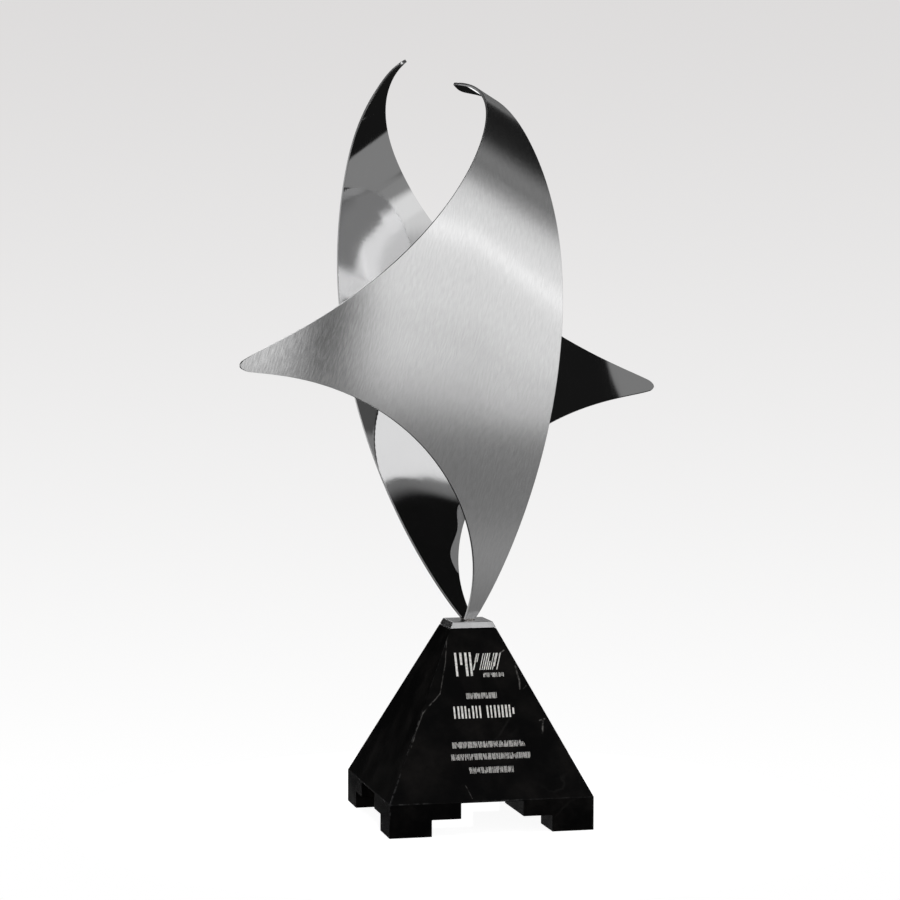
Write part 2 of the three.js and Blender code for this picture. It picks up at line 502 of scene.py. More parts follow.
@dataclass(frozen=True)
class BlackMarble(Finish):
    """Polished near-black marble with dim clouds, faint crazed veins, pale marks, worn pale specks on the
    hips and a painted highlight along the band's top edge.

    The pattern is read from the plinth's own middle, in metres, and its scales are waves to a metre.
    """

    name: ClassVar[str] = "black_marble"
    middle: Triple
    band: float
    slant: float  # millimetres up the slope to a millimetre of height
    black: Colour = (0.0018, 0.0018, 0.0019)
    brown: Colour = (0.012, 0.0108, 0.0102)
    vein: Colour = (0.26, 0.25, 0.24)
    # pale colour of the worn specks on the hips, also used for the painted highlight along the band's top
    # edge
    wear_and_highlight_colour: Colour = (0.05, 0.05, 0.051)
    roughness: float = 0.17
    swing: Pair = (0.12, 0.25)  # by clouds, and by the worn specks with the painted edge highlight
    gloss: float = 0.02
    cloud: Triple = (42.0, 5.0, 0.62)  # scale, finer layers and their strength
    cloudy: Pair = (0.4, 0.75)
    fleck: Triple = (420.0, 3.0, 0.6)
    flecked: Pair = (0.4, 0.6)  # how much of a cloud stays, and how much goes by its flecks
    warp: Pair = (34.0, 4.0)
    warp_shifts: tuple[Triple, Triple] = ((3.1, 0.0, 0.0), (0.0, 7.7, 0.0))  # so that the two warps differ
    warp_depth: float = 0.03
    cracks: float = 26.0
    patch: Pair = (30.0, 3.0)
    patch_shift: Triple = (0.4, 0.2, 0.9)
    patchy: Pair = (0.5, 0.7)
    vein_width: float = 0.02
    vein_strength: float = 0.025
    wander: float = 0.004  # how far the marks follow the warp
    front_soft: float = 0.001
    broken: Pair = (0.36, 0.6)
    hip: Pair = (0.98, 0.998)  # ratios of the smaller to the larger of x and y
    edge: Pair = (0.45, 0.8)  # painted highlight along the band's top edge: millimetres from the edge, and strength
    # where the flecks let the worn specks and the painted edge highlight show
    specked: Pair = (0.4, 0.65)
    wear_and_highlight: Triple = (70.0, 0.35, 0.65)  # scale, and where the worn specks and the painted edge highlight start and are full
    relief: Pair = (0.3, 0.7)  # weights of flecks and clouds in the height
    bump: Pair = (0.00004, 0.12)
    marks: tuple[Mark, ...] = (
        Mark((10.7, 73.8), (14.7, 76.5), 0.5, 0.7),
        Mark((19.5, 68.3), (20.4, 61.0), 0.7, 0.3),
        Mark((20.6, 61.0), (20.2, 55.8), 0.6, 0.45),
        Mark((22.2, 56.0), (23.6, 57.3), 0.5, 0.5),
        Mark((28.6, 39.9), (31.2, 40.7), 0.6, 0.4),
        Mark((30.3, 40.3), (29.0, 33.9), 0.7, 0.5),
        Mark((-12.5, 8.5), (-10.0, 1.7), 0.4, 0.25),
        Mark((-13.6, 84.4), (-20.5, 55.2), 0.4, 0.25),
        Mark((-20.5, 55.2), (-30.1, 45.8), 0.45, 0.35),
        Mark((-30.1, 45.8), (-37.7, 28.8), 0.45, 0.3),
    )

    def inputs(self, graph: Graph) -> dict[str, Any]:
        """Clouds, veins where warped cells meet, broken marks on the front, worn pale specks on the hips and
        a painted highlight along the band's top edge.

        Args:
            graph: the material's graph.

        Returns:
            The shader's values and links.
        """
        place = graph.mapped(graph.place(), shift=tuple(-part for part in self.middle))
        cloud = graph.noise(place, *self.cloud)
        fleck = graph.noise(place, *self.fleck)
        clouds = cloud.rise(*self.cloudy) * (self.flecked[0] + self.flecked[1] * fleck)
        x, y, z = graph.parts(place)
        warp_x, warp_z = (
            graph.noise(graph.mapped(place, shift=shift), *self.warp) - MEAN for shift in self.warp_shifts
        )
        deep_x, deep_z = warp_x * self.warp_depth, warp_z * self.warp_depth
        warped = graph.joined(x + deep_x, y + deep_z, z + deep_x)
        crack = graph.add(
            "ShaderNodeTexVoronoi",
            {"feature": "DISTANCE_TO_EDGE"},
            {"Vector": warped, "Scale": self.cracks},
        )
        patch = graph.noise(graph.mapped(place, shift=self.patch_shift), *self.patch).rise(*self.patchy)
        vein = Shade(graph, crack.outputs["Distance"]).rise(self.vein_width, 0.0) * patch * self.vein_strength
        across = (x + warp_x * self.wander) / MM
        along = ((z + warp_z * self.wander) / MM - self.band) * self.slant
        front = (0.0 - y - x.size()).rise(-self.front_soft, 0.0) * fleck.rise(*self.broken)
        marked = sum(mark.shade(across, along) for mark in self.marks) * front
        hip = (x.size().least(y.size()) / x.size().most(y.size())).rise(*self.hip)
        # painted highlight: a thin pale line along the band's top edge that stands in for light catching the
        # edge
        edge = (z / MM - self.band).size().rise(self.edge[0], 0.0) * self.edge[1]
        # worn pale specks on the hips joined with the painted edge highlight, broken up by flecks
        wear_and_highlight = hip.most(edge) * fleck.rise(*self.specked) * graph.noise(place, self.wear_and_highlight[0]).rise(*self.wear_and_highlight[1:])
        stone = graph.mix(clouds, self.black, self.brown)
        veined = graph.mix((vein + marked).least(1.0), stone, self.vein)
        return {
            "Base Color": graph.mix(wear_and_highlight, veined, self.wear_and_highlight_colour),
            "Roughness": self.roughness + self.swing[0] * clouds + self.swing[1] * wear_and_highlight,
            "Specular IOR Level": self.gloss,
            "Normal": graph.bump(fleck * self.relief[0] + cloud * self.relief[1], *self.bump),
        }


@dataclass(frozen=True)
class PaleFloor(Finish):
    """The plain white table, lit from within so that it burns out as in a white studio."""

    name: ClassVar[str] = "pale_floor"
    tone: Colour = (0.6, 0.6, 0.6)
    roughness: float = 0.05
    gloss: float = 0.3
    glow: float = 0.93

    def inputs(self, graph: Graph) -> dict[str, Any]:
        """White, with a slight gloss.

        Args:
            graph: the material's graph.

        Returns:
            The shader's values and links.
        """
        return {
            "Base Color": (*self.tone, 1.0),
            "Roughness": self.roughness,
            "Specular IOR Level": self.gloss,
            "Emission Color": (*WHITE, 1.0),
            "Emission Strength": self.glow,
        }


def quad_object(
    name: str, points: Array, quads: Array, materials: list[bpy.types.Material]
) -> bpy.types.Object:
    """Makes a smooth-shaded object of quads in the row frame.

    Args:
        name: the object's name.
        points: vertices in millimetres, one to a row.
        quads: four vertex numbers to a row.
        materials: the object's materials.

    Returns:
        The object, linked into the scene.
    """
    mesh = bpy.data.meshes.new(name)
    mesh.vertices.add(len(points))
    mesh.vertices.foreach_set("co", (np.asarray(points, float) * MM).ravel())
    mesh.loops.add(quads.size)
    mesh.loops.foreach_set("vertex_index", quads.ravel().astype(np.int32))
    mesh.polygons.add(len(quads))
    mesh.polygons.foreach_set("loop_start", np.arange(0, quads.size, 4, dtype=np.int32))
    mesh.polygons.foreach_set("use_smooth", np.ones(len(quads), bool))
    mesh.update(calc_edges=True)
    mesh.validate()
    for material in materials:
        mesh.materials.append(material)
    item = bpy.data.objects.new(name, mesh)
    bpy.context.scene.collection.objects.link(item)
    return item


def grid_quads(numbers: Array) -> Array:
    """Quads over a grid of vertex numbers, four to a row, turning from the first axis to the second."""
    corners = (numbers[:-1, :-1], numbers[1:, :-1], numbers[1:, 1:], numbers[:-1, 1:])
    return np.stack(corners, axis=-1).reshape(-1, 4)


def tube_quads(numbers: Array) -> Array:
    """Quads over a grid of vertex numbers whose second axis closes on itself."""
    return grid_quads(np.hstack([numbers, numbers[:, :1]]))


def circle(count: int) -> Array:
    """Even angles round a full turn."""
    return np.linspace(0.0, 2.0 * math.pi, count + 1)[:-1]


def unit(vectors: Array) -> Array:
    """The vectors at a length of 1."""
    return vectors / np.linalg.norm(vectors, axis=-1, keepdims=True)


def smooth(share: Array, full: Array | float) -> Array:
    """A smooth step from 0 to a full value over the shares of a way, held beyond its ends."""
    share = np.clip(share, 0.0, 1.0)
    return full * share**2 * (3.0 - 2.0 * share)


def bevelled(item: bpy.types.Object, width: float) -> None:
    """Rounds an object's sharp edges with a live modifier.

    Args:
        item: the object.
        width: the bevel's width in millimetres.
    """
    bevel = item.modifiers.new("eased_edges", "BEVEL")
    bevel.width = width * MM
    bevel.segments = EASED_STEPS
    bevel.limit_method = "ANGLE"
    bevel.angle_limit = math.radians(EASED_ANGLE)
    bevel.harden_normals = True


def bezier(points: Array, t: Array) -> Array:
    """A Bezier curve by repeated interpolation between neighbouring handles.

    Args:
        points: the curve's ends and handles, one to a row.
        t: places along it from 0 to 1.

    Returns:
        One point for each place.
    """
    level = np.repeat(np.asarray(points, float)[:, None, :], len(t), axis=1)
    while len(level) > 1:
        level = level[:-1] + (level[1:] - level[:-1]) * t[None, :, None]
    return level[0]


def turn(axis: str, degrees: float) -> Array:
    """The rotation matrix about a main axis."""
    return np.array(Matrix.Rotation(math.radians(degrees), 3, axis))


@dataclass(frozen=True)
class Blank:
    """The flat shape that both sheets are cut to, in millimetres, with the foot at the origin."""

    foot_half: float = 2.9
    tip_half: float = 1.2
    fin_rounding: float = 3.5
    tip: Pair = (38.05, 315.55)
    fin: Pair = (-135.8, 125.8)
    outer: Handles = ((25.6, 39.5), (84.0, 205.4), (1.2, 236.0), (60.6, 317.1))
    upper: Handles = ((28.7, 270.4), (2.4, 233.6), (-38.4, 151.0), (-130.0, 138.6))
    lower: Handles = ((-130.0, 118.4), (-36.8, 138.1), (-1.5, 62.0), (4.6, 29.5))
    fin_part: float = 0.04  # half the share of the inner edge that goes round the fin's tip

    def outer_edge(self, s: Array) -> Array:
        """Flat points of the long edge, one Bezier curve, at places from 0 at the foot to 1 at the tip."""
        ends = (self.foot_half, 0.0), (self.tip[0] + self.tip_half, self.tip[1])
        return bezier(np.array([ends[0], *self.outer, ends[1]]), s)

    def inner_edge(self, s: Array) -> Array:
        """The edge from foot to fin to tip: two Bezier curves with a round one at the fin.

        Args:
            s: places from 0 at the foot to 1 at the tip.

        Returns:
            Flat points.
        """
        fin = np.array(self.fin)
        low = np.array([self.fin, *self.lower, (-self.foot_half, 0.0)])
        high = np.array([(self.tip[0] - self.tip_half, self.tip[1]), *self.upper, self.fin])
        degree = len(low) - 1
        cut_low = self.fin_rounding / (degree * np.linalg.norm(fin - low[1]))
        cut_high = self.fin_rounding / (degree * np.linalg.norm(fin - high[-2]))
        below = 0.5 - self.fin_part
        above = 0.5 + self.fin_part
        lower = bezier(low, 1.0 - np.clip(s / below, 0.0, 1.0) * (1.0 - cut_low))
        upper = bezier(high, (1.0 - cut_high) * (1.0 - np.clip((s - above) / below, 0.0, 1.0)))
        round_from = bezier(low, np.array([cut_low]))[0]
        round_to = bezier(high, np.array([1.0 - cut_high]))[0]
        part = np.clip((s - below) / (2.0 * self.fin_part), 0.0, 1.0)
        rounded = bezier(np.array([round_from, fin, round_to]), part)
        edge = np.where((s < below)[:, None], lower, rounded)
        return np.where((s > above)[:, None], upper, edge)


@dataclass(frozen=True)
class Roll:
    """How the blank is rolled: its straight bend lines all run to one apex, so the sheet is part of a cone.

    The bend about each line is even, plus a part that grows as a power of the way from foot to tip.
    """

    apex: Pair = (409.8, 53.6)
    even: float = 0.54
    tight: float = 9.49
    power: float = 3.53
    steps: int = 240
    first_slack: float = 0.002
    last_slack: float = 0.01

    def angle(self, flat: Array) -> Array:
        """The angle of the bend line through each flat point."""
        return np.arctan2(flat[..., 1] - self.apex[1], self.apex[0] - flat[..., 0])

    def frames(self, tip: Pair) -> tuple[Array, Array, Array]:
        """Carries a frame from bend line to bend line, each step a small turn about the line and the normal.

        Args:
            tip: the blank's tip, where the last line lies.

        Returns:
            The lines' angles, their directions and the inner normals along them.
        """
        first = float(self.angle(np.zeros(2))) - self.first_slack
        last = float(self.angle(np.array(tip))) + self.last_slack
        step = (last - first) / self.steps
        line = Vector((-math.cos(first), 0.0, math.sin(first)))
        inner = Vector((0.0, 1.0, 0.0))
        lines, inners = [], []
        for i in range(self.steps + 1):
            lines.append(line.copy())
            inners.append(inner.copy())
            bend = self.even + self.tight * ((i + 0.5) / self.steps) ** self.power
            axis = line * bend + inner
            spin = Matrix.Rotation(axis.length * step, 3, axis)
            line, inner = spin @ line, spin @ inner
        return first + step * np.arange(self.steps + 1), np.array(lines), np.array(inners)

    def rolled(self, flat: Array, off: Array, tip: Pair) -> Array:
        """Where flat points go: along their bend line by their distance from the apex, and off it.

        Args:
            flat: flat points in the last axis.
            off: their distance from the sheet's middle, positive to the inner side.
            tip: the blank's tip.

        Returns:
            Points in the sheet's own frame, with the foot at the origin.
        """
        angles, lines, inners = self.frames(tip)

        def along(values: Array, at: Array) -> Array:
            """Unit vectors between neighbouring frames."""
            found = np.stack([np.interp(at, angles, values[:, k]) for k in range(3)], axis=-1)
            return unit(found)

        at = self.angle(flat)
        reach = np.linalg.norm(flat - np.array(self.apex), axis=-1)[..., None]
        origin = along(lines, self.angle(np.zeros(2))) * np.linalg.norm(self.apex)
        return along(lines, at) * reach + along(inners, at) * np.asarray(off)[..., None] - origin


@dataclass(frozen=True)
class FinBend:
    """The fin's last part, bent outwards by hand across a slanting line.

    The slope grows as a smooth step between two distances from the fin's tip, and the offset is its integral.
    """

    far: float = 85.0
    near: float = 5.0
    slope: float = -0.12
    gloss: float = 0.1  # how much further the polished surface turns than the metal's middle
    across: Pair = (0.96, -0.28)  # flat direction from the tip to the body, square to the bend

    def inward(self, flat: Array, fin: Pair) -> Array:
        """How far flat points lie from the fin's tip, square to the bend."""
        return (flat - np.array(fin)) @ np.array(self.across)

    def offset(self, flat: Array, fin: Pair) -> Array:
        """How far the fin's bend carries flat points, positive to the inner side.

        Args:
            flat: flat points in the last axis.
            fin: the fin's tip.

        Returns:
            Offsets in millimetres.
        """
        inward = self.inward(flat, fin)
        reach = self.far - self.near
        part = np.clip((self.far - inward) / reach, 0.0, 1.0)
        bent = reach * (part**3 - part**4 / 2.0)
        return self.slope * (bent + np.maximum(self.near - inward, 0.0))

    def extra(self, flat: Array, fin: Pair) -> Array:
        """How much further the surface leans across the blank than the bend itself."""
        return smooth((self.far - self.inward(flat, fin)) / (self.far - self.near), self.gloss)


@dataclass(frozen=True)
class Twist:
    """A slight twist of the rolled sheet: its surface leans along the blank by the distance across."""

    rate: float = 0.0017  # radians to a millimetre across
    middle: float = 8.0
    reach: Pair = (-16.0, 45.0)  # where the lean stops growing
    heights: tuple[float, float, float, float] = (90.0, 150.0, 400.0, 500.0)

    def lean(self, flat: Array) -> Array:
        """The lean at flat points: it comes and goes by smooth steps between the four heights."""
        part = np.interp(flat[..., 1], self.heights, (0.0, 1.0, 1.0, 0.0))
        return smooth(part, self.rate * np.clip(flat[..., 0] - self.middle, *self.reach))


@dataclass(frozen=True)
class Settle:
    """How far a sheet's top sinks towards its inner side: by a smooth step between two heights."""

    low: float
    high: float
    depth: float

    def offset(self, flat: Array) -> Array:
        """Distances towards the inner side at flat points."""
        return smooth((flat[..., 1] - self.low) / (self.high - self.low), self.depth)


@dataclass(frozen=True)
class EdgeRoll:
    """A strip beside one long edge that the polishing wheel has rolled over, so it leans across the blank.

    It runs between two heights, is widest at a third, and its border may wander in waves.
    """

    outer: bool
    heights: Triple  # where it starts, where it is widest and where it is gone again
    width: float
    slope: float
    swell: float = 2.0  # the power that its width grows by
    soft: float = 2.0
    wave: float = 0.0
    waves: float = 0.0  # radians to a millimetre
    steps: int = 200  # places where the edge is read

    def lean(self, flat: Array, blank: Blank) -> Array:
        """The lean at flat points: a smooth step of how far inside the strip's border they lie.

        Args:
            flat: flat points in the last axis.
            blank: the sheet's blank.

        Returns:
            Slopes across the blank.
        """
        s = np.linspace(0.0, 1.0 if self.outer else 0.5 - blank.fin_part, self.steps)
        edge = blank.outer_edge(s) if self.outer else blank.inner_edge(s)
        height = flat[..., 1]
        gap = np.abs(np.interp(height, edge[:, 1], edge[:, 0]) - flat[..., 0])
        start, widest, end = self.heights
        share = np.minimum((height - start) / (widest - start), (end - height) / (end - widest))
        share = np.clip(share, 0.0, 1.0)
        border = (self.width + self.wave * np.sin(height * self.waves)) * share**self.swell
        return smooth((border - gap) / self.soft, self.slope)


@dataclass(frozen=True)
class Stance:
    """How a sheet stands on the cap: a turn about the vertical after a tilt and a roll, then a shift."""

    turn: float
    tilt: float
    roll: float
    shift: Triple = UNMOVED

    def placed(self, points: Array) -> Array:
        """Points turned and then shifted."""
        matrix = turn("Z", self.turn) @ turn("X", self.tilt) @ turn("Y", self.roll)
        return points @ matrix.T + np.array(self.shift)


@dataclass
class Sheet:
    """A rolled three-tipped sheet with eased rims."""

    name: str
    node: str
    stances: tuple[Stance, ...]
    blank: Blank = Blank()
    roll: Roll = Roll()
    bend: FinBend = FinBend()
    twists: tuple[Twist, ...] = (Twist(),)
    rolls: tuple[EdgeRoll, ...] = ()
    settle: Settle = Settle(185.0, 255.0, 1.8)
    thickness: float = 1.5
    easing: float = 0.22
    columns: int = 400
    rows: int = 90
    hold: float = 0.12  # how far the outer edge's places lag, so that no two lines across the blank meet
    hold_from: float = 0.3
    probe: float = 0.25  # millimetres to either side that a normal is measured over
    sharp: float = 28.0  # degrees between two faces from which their edge is sharp

    def surface(self, flat: Array, off: Array | float) -> Array:
        """Where flat points of the blank end up in the row frame, off the sheet's middle by a distance."""
        bent = self.bend.offset(flat, self.blank.fin) + off
        points = self.roll.rolled(flat, bent, self.blank.tip)
        for stance in self.stances:
            points = stance.placed(points)
        return points

    def normals(self, flat: Array) -> Array:
        """Inner normals: square to two short steps along the blank, then leaned by twists and rolled edges.

        Args:
            flat: flat points in the last axis.

        Returns:
            Unit vectors in the row frame.
        """
        aside, along = np.array([self.probe, 0.0]), np.array([0.0, self.probe])
        across = self.surface(flat + aside, 0.0) - self.surface(flat - aside, 0.0)
        up = self.surface(flat + along, 0.0) - self.surface(flat - along, 0.0)
        normal, across, up = unit(np.cross(up, across)), unit(across), unit(up)
        leaned = normal - sum(twist.lean(flat) for twist in self.twists)[..., None] * up
        bent = self.bend.across[0] * across + self.bend.across[1] * up
        leaned = leaned - self.bend.extra(flat, self.blank.fin)[..., None] * bent
        for roll in self.rolls:
            leaned = leaned - roll.lean(flat, self.blank)[..., None] * across
        return unit(leaned)

    def grid(self) -> tuple[Array, Array]:
        """The sheet as two faces on one grid, each with its first and last rows eased into the rim.

        A flat point is a share of the way from the outer to the inner edge.

        Returns:
            Points by face, column and row, and the flat points below them.
        """
        s = np.linspace(0.0, 1.0, self.columns)
        part = np.clip((s - self.hold_from) / (1.0 - self.hold_from), 0.0, 1.0)
        held = self.hold * np.sin(np.pi * part) ** 2
        outer, inner = self.blank.outer_edge(s - held), self.blank.inner_edge(s)
        inset = self.easing / np.linalg.norm(outer - inner, axis=-1)
        t = np.linspace(0.0, 1.0, self.rows)
        across = inset[:, None] + (1.0 - 2.0 * inset[:, None]) * t
        across = np.concatenate([np.zeros((self.columns, 1)), across, np.ones((self.columns, 1))], axis=1)
        flat = outer[:, None, :] + (inner - outer)[:, None, :] * across[..., None]
        half = np.full(self.rows + 2, self.thickness / 2.0)
        half[[0, -1]] -= self.easing
        sunk = self.settle.offset(flat)
        return np.stack([self.surface(flat, sunk + side * half) for side in (-1.0, 1.0)]), flat

    def quads(self) -> tuple[Array, Array]:
        """Quads over both faces, the long rims and the ends.

        Returns:
            Four vertex numbers to a row, and each quad's finish.
        """
        numbers = np.arange(2 * self.columns * (self.rows + 2)).reshape(2, self.columns, self.rows + 2)
        low, high = numbers
        faces = np.full((self.columns - 1, self.rows + 1), int(SheetFace.RIM))
        outer, inner = faces.copy(), faces.copy()
        outer[:, 1:-1] = SheetFace.OUTER
        inner[:, 1:-1] = SheetFace.INNER
        strips = [
            (grid_quads(low), outer.ravel()),
            (grid_quads(high)[:, ::-1], inner.ravel()),
        ]
        for first, second in (
            (high[:, 0], low[:, 0]),
            (low[:, -1], high[:, -1]),
            (low[0], high[0]),
            (high[-1], low[-1]),
        ):
            strip = grid_quads(np.stack([first, second], axis=1))
            strips.append((strip, np.full(len(strip), int(SheetFace.RIM))))
        return np.concatenate([q for q, _ in strips]), np.concatenate([f for _, f in strips])

    def build(self, finishes: list[bpy.types.Material]) -> bpy.types.Object:
        """Makes the sheet's mesh with its flat map and its finishes.

        Args:
            finishes: materials in the order of SheetFace.

        Returns:
            The sheet.
        """
        points, flat = self.grid()
        quads, finish = self.quads()
        both = np.stack([flat, flat]).reshape(-1, 2)
        item = quad_object(self.name, points.reshape(-1, 3), quads, finishes)
        mesh = item.data
        mesh.polygons.foreach_set("material_index", finish.astype(np.int32))
        layer = mesh.uv_layers.new(name=BLANK_MAP)
        layer.data.foreach_set("uv", (both[quads.ravel()] / BLANK_MAP_UNIT).ravel())
        mesh.set_sharp_from_angle(angle=math.radians(self.sharp))
        side = np.select([finish == SheetFace.OUTER, finish == SheetFace.INNER], [-1.0, 1.0], 0.0)
        normals = self.normals(both)[quads] * side[:, None, None]
        mesh.normals_split_custom_set(normals.reshape(-1, 3))
        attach(item, BODY)
        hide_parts(self.node)
        return item


@dataclass
class Plinth:
    """The marble pyramid on a band that two-step arches cut into four corner feet."""

    middle: Pair
    width: float = 102.0
    band: float = 16.3
    apex: float = 119.0
    top: float = 95.3
    foot: float = 21.0
    step: float = 35.5
    step_height: float = 8.1
    arch_top: float = 15.7
    easing: float = 0.45

    def drop(self) -> float:
        """Millimetres that a face goes in to a millimetre of height."""
        return self.width / 2.0 / (self.apex - self.band)

    def slant(self) -> float:
        """Millimetres up the slope to a millimetre of height."""
        return math.hypot(1.0, self.drop())

    def finish(self) -> bpy.types.Material:
        """The stone's material, set out from the plinth's middle."""
        return BlackMarble((self.middle[0] * MM, self.middle[1] * MM, 0.0), self.band, self.slant()).make()

    def slope_half(self, height: float) -> float:
        """Half the pyramid's width at a height."""
        return self.width / 2.0 * (self.apex - height) / (self.apex - self.band)

    def lattice(self) -> tuple[Array, Array]:
        """Corners of a lattice of boxes, drawn in at the pyramid's top, and which boxes are stone.

        Returns:
            Points by x, y and z number, and a flag for each box.
        """
        half = self.width / 2.0
        breaks = np.array([-half, self.foot - half, self.step - half])
        across = np.concatenate([breaks, -breaks[::-1]])
        levels = np.array([0.0, self.step_height, self.arch_top, self.band, self.top])
        x, y, z = np.meshgrid(across, across, levels, indexing="ij")
        draw = np.where(z == self.top, self.slope_half(self.top) / half, 1.0)
        points = np.stack([x * draw + self.middle[0], y * draw + self.middle[1], z], axis=-1)
        rank = np.array([0, 1, 2, 1, 0])
        deepest = np.maximum(rank[:, None], rank[None, :])
        stone = deepest[:, :, None] <= np.array([0, 1, 2, 2])[None, None, :]
        return points, stone

    def quads(self, stone: Array, numbers: Array) -> Array:
        """A quad wherever a stone box meets an empty one, turned outwards.

        Args:
            stone: a flag for each box.
            numbers: vertex numbers of the lattice.

        Returns:
            Four vertex numbers to a row.
        """
        found = []
        padded = np.pad(stone, 1)
        for axis in range(3):
            inner = np.moveaxis(padded, axis, 0)[:, 1:-1, 1:-1]
            corner = np.moveaxis(numbers, axis, 0)
            ring = (corner[:, :-1, :-1], corner[:, 1:, :-1], corner[:, 1:, 1:], corner[:, :-1, 1:])
            faces = np.stack(ring, axis=-1)
            turned = axis == 1  # moving the middle axis to the front swaps the turn of the other two
            for outward, flag in ((True, inner[:-1] & ~inner[1:]), (False, ~inner[:-1] & inner[1:])):
                side = faces[flag]
                found.append(side if outward != turned else side[:, ::-1])
        return np.concatenate(found)

    def build(self, marble: bpy.types.Material) -> bpy.types.Object:
        """Makes the stone and eases its edges.

        Args:
            marble: its finish.

        Returns:
            The plinth.
        """
        points, stone = self.lattice()
        flat = points.reshape(-1, 3)
        quads = self.quads(stone, np.arange(len(flat)).reshape(points.shape[:3]))
        used, renumbered = np.unique(quads, return_inverse=True)
        item = quad_object("marble_plinth", flat[used], renumbered.reshape(-1, 4), [marble])
        bevelled(item, self.easing)
        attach(item, BODY)
        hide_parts("plinth")
        return item


@dataclass
class CapPlate:
    """The square cap plate with bevelled sides."""

    middle: Pair
    bottom: float = 95.6
    top: float = 98.6
    bottom_width: float = 23.3
    top_width: float = 20.4
    easing: float = 0.25
    cells: int = 6

    def build(self, steel: bpy.types.Material) -> bpy.types.Object:
        """A box grid whose level squares shrink evenly from bottom to top.

        Args:
            steel: its finish.

        Returns:
            The plate.
        """
        across = np.linspace(-0.5, 0.5, self.cells)
        levels = np.array([0.0, 1.0])
        x, y, z = np.meshgrid(across, across, levels, indexing="ij")
        width = self.bottom_width + (self.top_width - self.bottom_width) * z
        height = self.bottom + (self.top - self.bottom) * z
        points = np.stack([x * width + self.middle[0], y * width + self.middle[1], height], axis=-1)
        n = np.arange(x.size).reshape(x.shape)
        sides = [
            grid_quads(n[:, :, 1]),
            grid_quads(n[:, :, 0])[:, ::-1],
            grid_quads(n[:, 0, :]),
            grid_quads(n[:, -1, :])[:, ::-1],
            grid_quads(n[0, :, :])[:, ::-1],
            grid_quads(n[-1, :, :]),
        ]
        item = quad_object("cap_plate_steel", points.reshape(-1, 3), np.concatenate(sides), [steel])
        bevelled(item, self.easing)
        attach(item, BODY)
        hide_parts("cap_plate")
        return item


@dataclass
class FootWelds:
    """Two small weld beads along each sheet's foot, one on either face."""

    sheet: Sheet
    name: str
    height: float
    radius: float = 0.62
    ripple: Pair = (0.14, 16.0)  # share of the radius, and radians from the middle to an end
    lift: float = 0.4  # millimetres up the blank
    reach: float = 2.7
    rounds: int = 14
    steps: int = 40

    def build(self, finish: bpy.types.Material) -> bpy.types.Object:
        """A round profile carried along the foot; its radius ripples and closes to nothing at both ends.

        Args:
            finish: its material.

        Returns:
            Both beads as one piece.
        """
        along = np.linspace(-1.0, 1.0, self.steps)
        angle = circle(self.rounds)
        swell = 1.0 + self.ripple[0] * np.sin(along * self.ripple[1])
        radius = self.radius * swell * np.sqrt(np.clip(1.0 - along**4, 0.0, 1.0))
        flat = np.stack([along * self.reach, np.full(self.steps, self.lift)], axis=-1)
        aside = unit(self.sheet.normals(flat) * np.array([1.0, 1.0, 0.0]))
        ring = aside[:, None, :] * np.cos(angle)[None, :, None]
        ring = ring + np.array([0.0, 0.0, 1.0]) * np.sin(angle)[None, :, None]
        tubes = []
        for side in (-1.0, 1.0):
            line = self.sheet.surface(flat, side * self.sheet.thickness / 2.0)
            line[:, 2] = self.height
            tubes.append(line[:, None, :] + ring * radius[:, None, None])
        points = np.stack(tubes)
        numbers = np.arange(points[..., 0].size).reshape(points.shape[:3])
        quads = np.concatenate([tube_quads(tube) for tube in numbers])
        item = quad_object(self.name, points.reshape(-1, 3), quads, [finish])
        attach(item, BODY)
        return item


@dataclass(frozen=True)
class StrokeRow:
    """A row of strokes on the plinth's front, in millimetres across and up the slope."""

    left: float
    right: float
    foot: float
    height: float
    stroke: float
    group: int = 6  # strokes before a gap
    lean: float = 0.0


